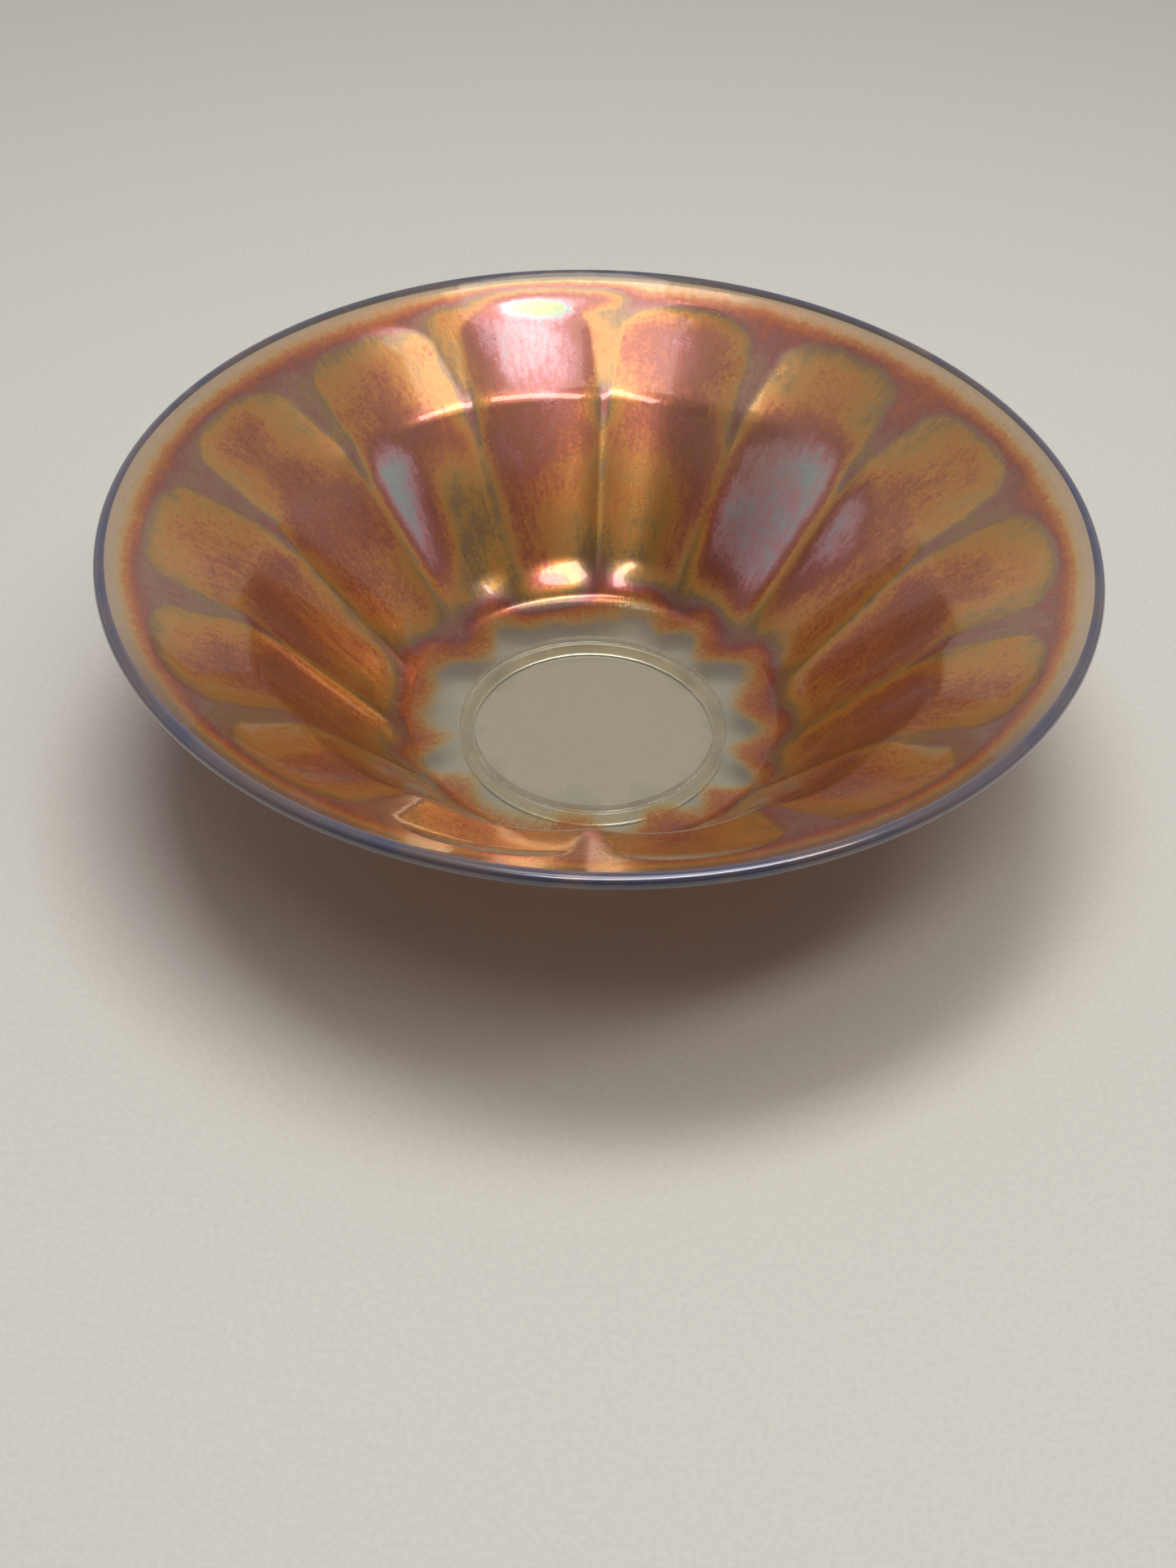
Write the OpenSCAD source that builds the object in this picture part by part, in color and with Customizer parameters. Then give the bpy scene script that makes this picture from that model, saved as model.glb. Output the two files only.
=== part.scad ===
// Pressed glass bowl with a panelled inside wall, a flared rim and a low collar foot.
// The glass is one pressing. Its four zones are drawn as separate solids that meet face to face:
// the foot ring that it stands on, the clear base, the panelled wall and the plain border with its lip.
// Millimetres, +Z up, origin at the centre of the resting face.

/* [Bowl] */
// Diameter over the lip
rim_d = 270; // [220:1:330]
// Height from the resting face to the top of the lip
bowl_h = 81.5; // [72:0.5:110]
// Diameter of the flat floor inside, at the crease where the wall starts
floor_d = 107; // [88:1:135]
// Diameter of the knee inside, where the steep wall turns out into the flare
knee_d = 193.5; // [158:0.5:234]
// Height of the knee above the floor inside
knee_h = 49.5; // [40:0.5:60]

/* [Glass] */
// Thickness of the floor
floor_t = 5; // [3.5:0.1:8]
// Thickness of the flare at the lip, which is rounded over all of it
rim_t = 4; // [3:0.1:6]
// Radius that blends the floor into the wall, on the inside
crease_round = 6; // [4:0.5:10]
// Radius that blends the wall into the flare, on the inside
knee_round = 20; // [7:0.5:28]

/* [Panels] */
// Number of panels round the wall
panel_count = 14; // [8:1:20]
// Depth of a flute in the steep wall
flute_depth = 1.6; // [0.5:0.1:2.4]
// Depth of the round panel tops in the flare
arch_depth = 1.2; // [0.4:0.1:2]
// Width of the rib between two flutes
rib_w = 1.5; // [0.8:0.1:4]
// Width of the land between two panel tops, where they start to round
land_w = 9; // [4:0.5:16]
// Plain border between the panel tops and the lip, along the radius
border_w = 10; // [8:0.5:20]
// Length of the rounded end of a panel, up the slope
arch_rise = 12; // [6:0.5:18]
// Height over which a flute fades out at its foot
flute_fade = 9; // [4:0.5:14]

/* [Foot] */
// Outer diameter of the foot ring
foot_d = 79; // [62:0.5:98]
// Width of the face that the foot ring rests on
foot_w = 4; // [2.5:0.1:8]
// Height of the foot ring below the floor
foot_h = 5.5; // [3:0.1:9]
// Rounding of the foot ring's two lower edges
foot_round = 0.8; // [0.3:0.1:1.2]

/* [Hidden] */
$fn = 96;
clear_glass = [0.86, 0.87, 0.84, 0.55];
amber_lustre = [0.78, 0.42, 0.16];
pale_lustre = [0.66, 0.58, 0.50];

arc_steps = 6;            // points along each blend of the profile
wall_rows = 7;            // rows of the wall mesh up the steep wall
knee_rows = 4;            // rows round the knee
flare_rows = 9;           // rows up the flare, to the panel tops
outer_rows = 7;           // rows down the outside
row_gap = 0.4;            // height that the wall keeps past the panel tops
joint_gap = 0.2;          // height from the joint with the rim to the top of the outside
columns = [-1, -0.68, -0.34, 0, 0.34, 0.68, 1];  // mesh columns of a flute, as shares of its half width

// Profile of the inside: floor line, steep wall line and flare line, each [radius, height].
floor_z = foot_h + floor_t;
crease_pt = [floor_d / 2, floor_z];
knee_pt = [knee_d / 2, floor_z + knee_h];
lip_centre = [(rim_d - rim_t) / 2, bowl_h - rim_t / 2];
wall_slope = atan2(knee_pt[1] - crease_pt[1], knee_pt[0] - crease_pt[0]);
// The flare's inside is tangent to the round of the lip, so its slope allows for half the thickness.
lip_run = lip_centre - knee_pt;
flare_slope = atan2(lip_run[1], lip_run[0]) + asin(rim_t / 2 / norm(lip_run));

function along(a) = [cos(a), sin(a)];
function square_to(a) = [-sin(a), cos(a)];

// A blend of radius r between two lines that meet at p, as [point, slope] pairs.
function blend(p, r, a0, a1) =
    let (side = a1 > a0 ? 1 : -1,
         reach = r * tan(abs(a1 - a0) / 2),
         centre = p - reach * along(a0) + side * r * square_to(a0))
    [for (i = [0 : arc_steps])
        let (a = a0 + (a1 - a0) * i / arc_steps) [centre - side * r * square_to(a), a]];

crease = blend(crease_pt, crease_round, 0, wall_slope);
knee = blend(knee_pt, knee_round, wall_slope, flare_slope);
lip_pt = lip_centre + rim_t / 2 * square_to(flare_slope);
inside = concat(crease, knee, [[lip_pt, flare_slope]]);

// The glass thins evenly with the radius, from the floor to the lip.
function thickness(r) =
    let (f = (r - crease_pt[0]) / (lip_pt[0] - crease_pt[0])) floor_t + (rim_t - floor_t) * max(0, min(1, f));
function outside_of(entry) = entry[0] - thickness(entry[0][0]) * square_to(entry[1]);

inner_pts = [for (e = inside) e[0]];
outer_pts = [for (e = inside) outside_of(e)];
lip_arc = [for (i = [1 : 2 * arc_steps - 1])
    lip_centre + rim_t / 2 * along(flare_slope + 90 - 180 * i / (2 * arc_steps))];

// Heights of the parts of the wall.
low_z = crease[arc_steps][0][1];
knee_low_z = knee[0][0][1];
knee_high_z = knee[arc_steps][0][1];
// The border is never so narrow that the wall would end above the top of the outside.
border_min = (rim_t * cos(flare_slope) + row_gap + joint_gap) / tan(flare_slope);
arch_r = min(rim_d / 2 - border_w, lip_pt[0] - border_min);
arch_z = lip_pt[1] - (lip_pt[0] - arch_r) * tan(flare_slope);
shoulder_z = arch_z - arch_rise * sin(flare_slope);
high_z = arch_z + row_gap;

inner_r = [for (e = inside) [e[0][1], e[0][0]]];
inner_slope = [for (e = inside) [e[0][1], e[1]]];
outer_r = [for (p = outer_pts) [p[1], p[0]]];

function share(v, lo, hi) = max(0, min(1, (v - lo) / (hi - lo)));
function smooth(f) = f * f * (3 - 2 * f);

// Half width of a flute at a height, as a share of the pitch from rib to rib.
function half_width(z) =
    let (zc = min(z, shoulder_z),
         land = rib_w + (land_w - rib_w) * share(zc, knee_low_z, shoulder_z),
         pitch = 2 * PI * lookup(zc, inner_r) / panel_count)
    0.5 - land / 2 / pitch;

// How deep the glass is hollowed at a height and at a share x of the pitch from the flute's middle.
function hollow(z, x) =
    let (across = abs(x) / half_width(z),
         up = share(z, shoulder_z, arch_z),
         q = across * across + up * up,
         deepest = flute_depth + (arch_depth - flute_depth) * share(z, knee_low_z, shoulder_z),
         fade = smooth(share(z, low_z, low_z + flute_fade)))
    q < 1 ? deepest * fade * (1 - q) : 0;

row_z = concat(
    [for (i = [0 : wall_rows - 1]) low_z + (knee_low_z - low_z) * i / wall_rows],
    [for (i = [0 : knee_rows - 1]) knee_low_z + (knee_high_z - knee_low_z) * i / knee_rows],
    [for (i = [0 : flare_rows]) knee_high_z + (arch_z - knee_high_z) * i / flare_rows],
    [high_z]);
outer_z = [for (i = [0 : outer_rows]) high_z + (low_z - high_z) * i / outer_rows];

function on_circle(r, z, turn) = [r * cos(turn), r * sin(turn), z];

// One ring of the inside: the rib's middle, then the columns of the flute, for every panel.
function inner_ring(z) =
    let (r = lookup(z, inner_r), a = lookup(z, inner_slope), w = half_width(z))
    [for (k = [0 : panel_count - 1], c = concat([undef], columns))
        let (x = is_undef(c) ? -0.5 : c * w,
             d = hollow(z, x),
             turn = 90 + 360 / panel_count * (k + 0.5 + x))
        on_circle(r + d * sin(a), z - d * cos(a), turn)];
function outer_ring(z) =
    let (r = lookup(z, outer_r), w = half_width(z))
    [for (k = [0 : panel_count - 1], c = concat([undef], columns))
        on_circle(r, z, 90 + 360 / panel_count * (k + 0.5 + (is_undef(c) ? -0.5 : c * w)))];

// The glass section of base, wall and border, without the flutes.
module section() {
    polygon(concat([[0, floor_z]], inner_pts, lip_arc,
        [for (i = [len(outer_pts) - 1 : -1 : 0]) outer_pts[i]], [[0, foot_h]]));
}

// The part of the section between two heights, turned about the axis.
module turned_band(z0, z1) {
    rotate_extrude()
        intersection() {
            section();
            translate([0, z0]) square([rim_d, z1 - z0]);
        }
}

// Low collar under the base, with its lower edges rounded by the fire polish.
module foot_ring() {
    inner = foot_d / 2 - foot_w;
    color(clear_glass)
        rotate_extrude()
            polygon(concat(
                [[inner, foot_h], [inner, foot_round]],
                [for (i = [1 : 3]) [inner + foot_round * (1 - cos(30 * i)), foot_round * (1 - sin(30 * i))]],
                [for (i = [3 : -1 : 1])
                    [foot_d / 2 - foot_round * (1 - cos(30 * i)), foot_round * (1 - sin(30 * i))]],
                [[foot_d / 2, foot_round], [foot_d / 2, foot_h]]));
}

// Clear floor, with the start of the wall as far as the flutes.
module base() {
    color(clear_glass) turned_band(0, low_z);
}

// Steep wall with its flutes and ribs, and the flare as far as the round panel tops.
module panelled_wall() {
    rings = concat([for (z = row_z) inner_ring(z)], [for (z = outer_z) outer_ring(z)]);
    n = len(rings[0]);
    m = len(rings);
    color(amber_lustre)
        polyhedron(
            points = [for (ring = rings, p = ring) p],
            faces = [for (i = [0 : m - 1], j = [0 : n - 1])
                let (i1 = (i + 1) % m, j1 = (j + 1) % n, a = i * n + j, b = i1 * n + j,
                     c = i1 * n + j1, d = i * n + j1)
                for (face = [[a, c, b], [a, d, c]]) face]);
}

// Plain border above the panels, ending in the round lip.
module rim() {
    color(pale_lustre) turned_band(high_z, bowl_h);
}

foot_ring();
base();
panelled_wall();
rim();
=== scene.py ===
"""Marigold carnival glass bowl: the looks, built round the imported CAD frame.

The bowl is one pressing with a panelled inside. Geometry Nodes lathe each zone of the pressing from its
own section, one panel at a time, so the zones meet face to face and read as one piece of glass. The lustre
is a film whose thickness follows the panels, and its colour follows the thickness.
"""

import logging
import math
import sys
from dataclasses import dataclass, field
from enum import Enum, IntEnum
from typing import Sequence, Union

import bpy
from mathutils import Euler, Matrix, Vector


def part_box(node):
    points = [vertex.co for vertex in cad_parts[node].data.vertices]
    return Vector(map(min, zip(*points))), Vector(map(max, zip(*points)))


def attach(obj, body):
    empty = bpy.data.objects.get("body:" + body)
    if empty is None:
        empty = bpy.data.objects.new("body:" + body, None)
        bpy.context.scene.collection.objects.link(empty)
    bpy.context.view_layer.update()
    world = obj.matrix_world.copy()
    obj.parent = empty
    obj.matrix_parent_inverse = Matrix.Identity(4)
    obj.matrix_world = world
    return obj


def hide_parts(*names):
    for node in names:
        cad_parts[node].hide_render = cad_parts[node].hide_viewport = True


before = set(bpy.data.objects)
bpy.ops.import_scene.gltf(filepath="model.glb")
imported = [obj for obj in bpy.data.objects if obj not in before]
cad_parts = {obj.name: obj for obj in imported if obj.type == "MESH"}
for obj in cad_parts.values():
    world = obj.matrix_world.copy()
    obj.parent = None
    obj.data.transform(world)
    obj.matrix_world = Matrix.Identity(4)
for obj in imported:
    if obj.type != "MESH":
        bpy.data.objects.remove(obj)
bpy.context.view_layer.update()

log = logging.getLogger("bowl")
MM = 0.001
BODY = "root"
PANEL_MAP = "panel_map"
HOLLOW = "hollow"


# --------------------------------------------------------------------------------------------------
# Node trees written as plain arithmetic
# --------------------------------------------------------------------------------------------------


@dataclass(frozen=True)
class Term:
    """A number or vector in a node tree that takes part in ordinary arithmetic."""

    tree: bpy.types.NodeTree
    socket: bpy.types.NodeSocket

    def _math(self, operation: str, *values: Union["Term", float]) -> "Term":
        """Adds one Math node with these inputs and returns its result."""
        node = self.tree.nodes.new("ShaderNodeMath")
        node.operation = operation
        for slot, value in zip(node.inputs, values):
            if isinstance(value, Term):
                self.tree.links.new(value.socket, slot)
            else:
                slot.default_value = value
        return Term(self.tree, node.outputs[0])

    def __add__(self, other: Union["Term", float]) -> "Term":
        """Sum."""
        return self._math("ADD", self, other)

    def __sub__(self, other: Union["Term", float]) -> "Term":
        """Difference."""
        return self._math("SUBTRACT", self, other)

    def __rsub__(self, other: float) -> "Term":
        """Difference from a plain number."""
        return self._math("SUBTRACT", other, self)

    def __mul__(self, other: Union["Term", float]) -> "Term":
        """Product."""
        return self._math("MULTIPLY", self, other)

    def __truediv__(self, other: Union["Term", float]) -> "Term":
        """Quotient."""
        return self._math("DIVIDE", self, other)

    def __rtruediv__(self, other: float) -> "Term":
        """A plain number divided by this one."""
        return self._math("DIVIDE", other, self)

    __radd__, __rmul__ = __add__, __mul__

    def apply(self, operation: str, *others: Union["Term", float]) -> "Term":
        """Any other Math operation, such as SINE or FLOOR."""
        return self._math(operation, self, *others)

    def least(self, other: Union["Term", float]) -> "Term":
        """The smaller of two."""
        return self._math("MINIMUM", self, other)

    def most(self, other: Union["Term", float]) -> "Term":
        """The larger of two."""
        return self._math("MAXIMUM", self, other)

    def share(self, low: Union["Term", float], high: Union["Term", float]) -> "Term":
        """How far this lies from low to high, held between 0 and 1."""
        return ((self - low) / (high - low)).most(0.0).least(1.0)

    def smooth(self) -> "Term":
        """Eases a share from 0 to 1 in and out."""
        return self * self * (3.0 - 2.0 * self)

    def hump(self, centre: float, width: float) -> "Term":
        """A smooth bump of height 1 at a value, fading within a width of it."""
        away = (self - centre) / width
        return 1.0 / (1.0 + away * away * 2.0).apply("POWER", 2.0)


Value = Union[Term, float]


class TreeBench:
    """Adds nodes to one tree and wires them by the names of their sockets."""

    def __init__(self, tree: bpy.types.NodeTree) -> None:
        """Takes the tree to work on."""
        self.tree = tree

    def feed(self, slot: bpy.types.NodeSocket, value: object) -> None:
        """Links a term to an input, or sets the input to a plain value. A colour gets full alpha."""
        if isinstance(value, Term):
            self.tree.links.new(value.socket, slot)
        elif slot.type == "RGBA":
            slot.default_value = (*value, 1.0)
        else:
            slot.default_value = value

    def node(self, kind: str, inputs: dict | None = None, **settings: object) -> bpy.types.Node:
        """Adds a node.

        Args:
            kind: the node's type name.
            inputs: values or terms for its inputs, by name or by number.
            **settings: the node's own properties, set before its inputs.

        Returns:
            The node.
        """
        made = self.tree.nodes.new(kind)
        for name, value in settings.items():
            setattr(made, name, value)
        for name, value in (inputs or {}).items():
            slot = made.inputs[name] if isinstance(name, int) else self._named(made.inputs, name)
            self.feed(slot, value)
        return made

    @staticmethod
    def _named(slots: Sequence[bpy.types.NodeSocket], name: str) -> bpy.types.NodeSocket:
        """The socket in use that has this name."""
        return next(s for s in slots if s.name == name and s.enabled)

    def out(self, made: bpy.types.Node, output: int | str = 0) -> Term:
        """An output of a node, by number or by name, as a term."""
        slot = made.outputs[output] if isinstance(output, int) else self._named(made.outputs, output)
        return Term(self.tree, slot)

    def term(self, kind: str, inputs: dict | None = None, output: int | str = 0, **settings: object) -> Term:
        """Adds a node and returns one of its outputs as a term."""
        return self.out(self.node(kind, inputs, **settings), output)

    def vector(self, x: Value, y: Value, z: Value) -> Term:
        """Joins three numbers into a vector."""
        return self.term("ShaderNodeCombineXYZ", {0: x, 1: y, 2: z})

    def parts(self, vector: Term) -> tuple[Term, Term, Term]:
        """Splits a vector into its three numbers."""
        made = self.node("ShaderNodeSeparateXYZ", {0: vector})
        return self.out(made, 0), self.out(made, 1), self.out(made, 2)

    def noise(self, where: Term, scale: float, detail: float = 3.0, roughness: float = 0.5) -> Term:
        """Smooth noise from 0 to 1."""
        inputs = {"Vector": where, "Scale": scale, "Detail": detail, "Roughness": roughness}
        return self.term("ShaderNodeTexNoise", inputs)

    def curve(self, value: Term, points: Sequence[tuple[float, float]]) -> Term:
        """Reads a curve drawn through points, whose first numbers rise. Past its ends it stays level."""
        low, high = points[0][0], points[-1][0]
        made = self.node("ShaderNodeFloatCurve", {"Value": value.share(low, high)})
        line = made.mapping.curves[0]
        while len(line.points) < len(points):
            line.points.new(0.5, 0.5)
        for point, (x, y) in zip(line.points, points):
            point.location = ((x - low) / (high - low), y)
            point.handle_type = "AUTO_CLAMPED"
        made.mapping.update()
        return self.out(made)

    def ramp(self, value: Value, stops: Sequence[tuple[float, tuple[float, float, float]]]) -> Term:
        """Reads a colour from a ramp of (place, colour) stops."""
        made = self.node("ShaderNodeValToRGB", {0: value})
        elements = made.color_ramp.elements
        while len(elements) < len(stops):
            elements.new(1.0)
        for element, (place, colour) in zip(elements, stops):
            element.position = place
            element.color = (*colour, 1.0)
        return self.out(made)

    def mix(self, share: Value, first: object, second: object, mode: str = "MIX") -> Term:
        """Mixes two colours."""
        made = self.node("ShaderNodeMix", data_type="RGBA", blend_type=mode)
        for slot, value in zip([s for s in made.inputs if s.enabled], (share, first, second)):
            self.feed(slot, value)
        return self.out(made, "Result")


# --------------------------------------------------------------------------------------------------
# Sizes and sections
# --------------------------------------------------------------------------------------------------


class Skin(IntEnum):
    """The kinds of surface on a zone of the pressing."""

    INSIDE = 0
    OUTSIDE = 1
    JOINT = 2
    LIP = 3
    AXIS = 4

    @property
    def finish(self) -> str:
        """Name of the lathe's input that takes this skin's material."""
        return f"{self.name.title()} finish"


DRESSED = (Skin.INSIDE, Skin.OUTSIDE, Skin.JOINT, Skin.LIP)


def polar(angle: float) -> Vector:
    """The unit vector at an angle above the horizontal."""
    return Vector((math.cos(angle), math.sin(angle)))


def square_to(angle: float) -> Vector:
    """The unit vector square to an angle, up and towards the axis."""
    return Vector((-math.sin(angle), math.cos(angle)))


@dataclass(frozen=True)
class Mark:
    """A point of the profile.

    Attributes:
        place: distance from the axis, and height above the resting face.
        slope: angle of the surface above the horizontal, in radians.
        path: distance along the inside from the crease, negative over the floor.
    """

    place: Vector
    slope: float = 0.0
    path: float = 0.0


@dataclass
class Section:
    """A closed outline of glass, drawn round in order, with the skin of each stretch."""

    marks: list[Mark] = field(default_factory=list)
    skins: list[Skin] = field(default_factory=list)

    def follow(self, marks: Sequence[Mark], skin: Skin, then: Skin) -> "Section":
        """Adds a stretch.

        Args:
            marks: the points of the stretch.
            skin: the skin between them.
            then: the skin from the last of them to whatever comes next.

        Returns:
            The section itself.
        """
        self.marks += marks
        self.skins += [skin] * (len(marks) - 1) + [then]
        return self

    def to_object(self, name: str) -> bpy.types.Object:
        """A mesh of the section's points in order, with what the lathe reads as attributes."""
        mesh = bpy.data.meshes.new(name)
        count = len(self.marks)
        points = [(m.place.x, 0.0, m.place.y) for m in self.marks]
        mesh.from_pydata(points, [(i, (i + 1) % count) for i in range(count)], [])
        pressed = (Skin.INSIDE, Skin.LIP)
        fluted = [s in pressed or self.skins[i - 1] in pressed for i, s in enumerate(self.skins)]
        for label, kind, values in (
            ("slope", "FLOAT", [m.slope for m in self.marks]),
            ("path", "FLOAT", [m.path for m in self.marks]),
            ("skin", "INT", [int(s) for s in self.skins]),
            ("fluted", "FLOAT", [float(f) for f in fluted]),
        ):
            mesh.attributes.new(label, kind, "POINT").data.foreach_set("value", values)
        return bpy.data.objects.new(name, mesh)


@dataclass(frozen=True)
class PressedProfile:
    """The half section of the pressing, in metres, with the CAD model's sizes.

    The outer sizes and the heights where the zones meet come from the frame.

    Attributes:
        floor_radius: radius of the flat floor, at the crease where the wall starts.
        knee_radius: radius where the lines of the wall and the flare cross.
        knee_rise: height of that crossing above the floor.
        outer_lag: how much shorter the film's path is outside than inside.
        pitch: length of one step along a straight run.
        bend_steps: steps round each blend.
        lip_steps: steps round the lip.
        foot_steps: steps round each edge of the foot ring.
        flutes_from: height where the base ends and the flutes start.
        border_from: height where the panelled wall ends.
    """

    floor_radius: float = 53.5 * MM
    knee_radius: float = 96.75 * MM
    knee_rise: float = 49.5 * MM
    floor_thickness: float = 5.0 * MM
    lip_thickness: float = 4.0 * MM
    crease_round: float = 6.0 * MM
    knee_round: float = 20.0 * MM
    foot_width: float = 4.0 * MM
    foot_round: float = 0.8 * MM
    outer_lag: float = 10.0 * MM
    pitch: float = 1.0 * MM
    bend_steps: int = 12
    lip_steps: int = 14
    foot_steps: int = 6
    rim_radius: float = field(default_factory=lambda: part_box("rim")[1].x)
    top: float = field(default_factory=lambda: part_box("rim")[1].z)
    foot_radius: float = field(default_factory=lambda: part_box("foot_ring")[1].x)
    foot_height: float = field(default_factory=lambda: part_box("foot_ring")[1].z)
    flutes_from: float = field(default_factory=lambda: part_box("base")[1].z)
    border_from: float = field(default_factory=lambda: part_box("rim")[0].z)

    @property
    def floor_height(self) -> float:
        """Height of the floor inside."""
        return self.foot_height + self.floor_thickness

    @property
    def wall_slope(self) -> float:
        """Slope of the steep wall."""
        return math.atan2(self.knee_rise, self.knee_radius - self.floor_radius)

    @property
    def lip_centre(self) -> Vector:
        """Centre of the round of the lip."""
        half = self.lip_thickness / 2
        return Vector((self.rim_radius - half, self.top - half))

    @property
    def knee(self) -> Vector:
        """Where the lines of the wall and the flare cross."""
        return Vector((self.knee_radius, self.floor_height + self.knee_rise))

    @property
    def flare_slope(self) -> float:
        """Slope of the flare, whose inside is tangent to the round of the lip."""
        run = self.lip_centre - self.knee
        return math.atan2(run.y, run.x) + math.asin(self.lip_thickness / 2 / run.length)

    @property
    def lip_edge(self) -> Vector:
        """Where the flare's inside meets the round of the lip."""
        return self.lip_centre + self.lip_thickness / 2 * square_to(self.flare_slope)

    def thickness(self, radius: float) -> float:
        """Thickness of the glass, which thins evenly from the floor to the lip."""
        f = (radius - self.floor_radius) / (self.lip_edge.x - self.floor_radius)
        return self.floor_thickness + (self.lip_thickness - self.floor_thickness) * min(1.0, max(0.0, f))

    def _bend(self, corner: Vector, radius: float, before: float, after: float) -> list[Mark]:
        """Marks of a blend between two lines that cross at a corner."""
        side = 1.0 if after > before else -1.0
        reach = radius * math.tan(abs(after - before) / 2)
        centre = corner - reach * polar(before) + side * radius * square_to(before)
        slopes = [before + (after - before) * i / self.bend_steps for i in range(self.bend_steps + 1)]
        return [Mark(centre - side * radius * square_to(a), a) for a in slopes]

    def _refine(self, marks: Sequence[Mark]) -> list[Mark]:
        """Splits each straight run into steps of about one pitch, and measures the path."""
        made = [marks[0]]
        for start, end in zip(marks, marks[1:]):
            length = (end.place - start.place).length
            steps = max(1, round(length / self.pitch))
            gone = made[-1].path
            for i in range(1, steps + 1):
                place = start.place.lerp(end.place, i / steps)
                made.append(Mark(place, end.slope, gone + length * i / steps))
        return made

    def _corners(self) -> list[Mark]:
        """The inside from the crease to the lip: two blends with straight runs between them."""
        corner = Vector((self.floor_radius, self.floor_height))
        crease = self._bend(corner, self.crease_round, 0, self.wall_slope)
        knee = self._bend(self.knee, self.knee_round, self.wall_slope, self.flare_slope)
        return [*crease, *knee, Mark(self.lip_edge, self.flare_slope)]

    def inside(self, low: float, high: float) -> list[Mark]:
        """The inside between two heights, rising."""
        return self._between(self._refine(self._corners()), low, high)

    def outside(self, low: float, high: float) -> list[Mark]:
        """The outside between two heights, rising."""
        marks = [
            Mark(m.place - self.thickness(m.place.x) * square_to(m.slope), m.slope, -self.outer_lag)
            for m in self._corners()
        ]
        return self._between(self._refine(marks), low, high)

    @staticmethod
    def _between(marks: Sequence[Mark], low: float, high: float) -> list[Mark]:
        """The stretch of a rising line between two heights, cut exactly there."""

        def cut(height: float) -> list[Mark]:
            """The point where the line crosses a height, if it does."""
            for p, q in zip(marks, marks[1:]):
                if p.place.y <= height < q.place.y:
                    f = (height - p.place.y) / (q.place.y - p.place.y)
                    return [Mark(p.place.lerp(q.place, f), q.slope, p.path + (q.path - p.path) * f)]
            return []

        gap = 0.02 * MM
        middle = [m for m in marks if low + gap < m.place.y < high - gap]
        return [*(cut(low) or marks[:1]), *middle, *cut(high)]

    def wall_section(self) -> Section:
        """The panelled wall: steep wall and flare, as far as the plain border."""
        low, high = self.flutes_from, self.border_from
        section = Section().follow(self.inside(low, high), Skin.INSIDE, then=Skin.JOINT)
        return section.follow(self.outside(low, high)[::-1], Skin.OUTSIDE, then=Skin.JOINT)

    def rim_section(self) -> Section:
        """The plain border and the round lip."""
        border = self.inside(self.border_from, self.top)
        half = self.lip_thickness / 2
        turns = [math.pi * i / self.lip_steps for i in range(1, self.lip_steps)]
        slope, path = self.flare_slope, border[-1].path
        lip = [Mark(self.lip_centre + half * square_to(slope - t), slope, path + half * t) for t in turns]
        below = self.outside(self.border_from, self.top)[::-1]
        section = Section().follow(border, Skin.INSIDE, then=Skin.LIP).follow(lip, Skin.LIP, then=Skin.LIP)
        return section.follow(below, Skin.OUTSIDE, then=Skin.JOINT)

    def base_section(self) -> Section:
        """The clear floor and the foot of the wall, with a joint where the foot ring sits."""
        rising = self.inside(self.floor_height, self.flutes_from)
        edge = rising[0].place.x
        steps = round(edge / (2 * self.pitch))
        shares = [i / steps for i in range(steps)]
        floor = [Mark(Vector((edge * f, self.floor_height)), path=edge * (f - 1)) for f in shares]
        ring = (self.foot_radius, self.foot_radius - self.foot_width)
        seat = [Mark(Vector((r, self.foot_height))) for r in ring]
        below = self.outside(self.foot_height, self.flutes_from)[::-1]
        section = Section().follow(floor + rising, Skin.INSIDE, then=Skin.JOINT)
        section.follow(below, Skin.OUTSIDE, then=Skin.OUTSIDE)
        section.follow(seat, Skin.JOINT, then=Skin.OUTSIDE)
        return section.follow([Mark(Vector((0.0, self.foot_height)))], Skin.AXIS, then=Skin.AXIS)

    def foot_section(self) -> Section:
        """The foot ring, with its lower edges rounded."""
        inner, rise = self.foot_radius - self.foot_width, self.foot_round
        turns = [math.pi / 2 * i / self.foot_steps for i in range(self.foot_steps + 1)]
        bend = [(rise * (1 - math.cos(t)), rise * (1 - math.sin(t))) for t in turns]
        top = [Mark(Vector((r, self.foot_height))) for r in (inner, self.foot_radius)]
        right = [Mark(Vector((self.foot_radius - x, z))) for x, z in bend]
        left = [Mark(Vector((inner + x, z))) for x, z in bend[::-1]]
        section = Section().follow(top, Skin.JOINT, then=Skin.OUTSIDE)
        return section.follow(right + left, Skin.OUTSIDE, then=Skin.OUTSIDE)


@dataclass(frozen=True)
class PanelRule:
    """How the panels press into the inside, with the CAD model's sizes in metres.

    Attributes:
        border: width of the plain border, along the radius.
        arch_rise: length of a panel's rounded end, up the slope.
        fade: height over which a flute fades out at its foot.
        columns: mesh columns of a panel.
        crowding: how far the columns crowd towards the ribs, from 0 to 1.
    """

    count: int = 14
    flute_depth: float = 1.6 * MM
    arch_depth: float = 1.2 * MM
    rib_width: float = 1.5 * MM
    land_width: float = 9.0 * MM
    border: float = 10.0 * MM
    arch_rise: float = 12.0 * MM
    fade: float = 9.0 * MM
    columns: int = 30
    crowding: float = 0.55


# --------------------------------------------------------------------------------------------------
# The lathe
# --------------------------------------------------------------------------------------------------


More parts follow.
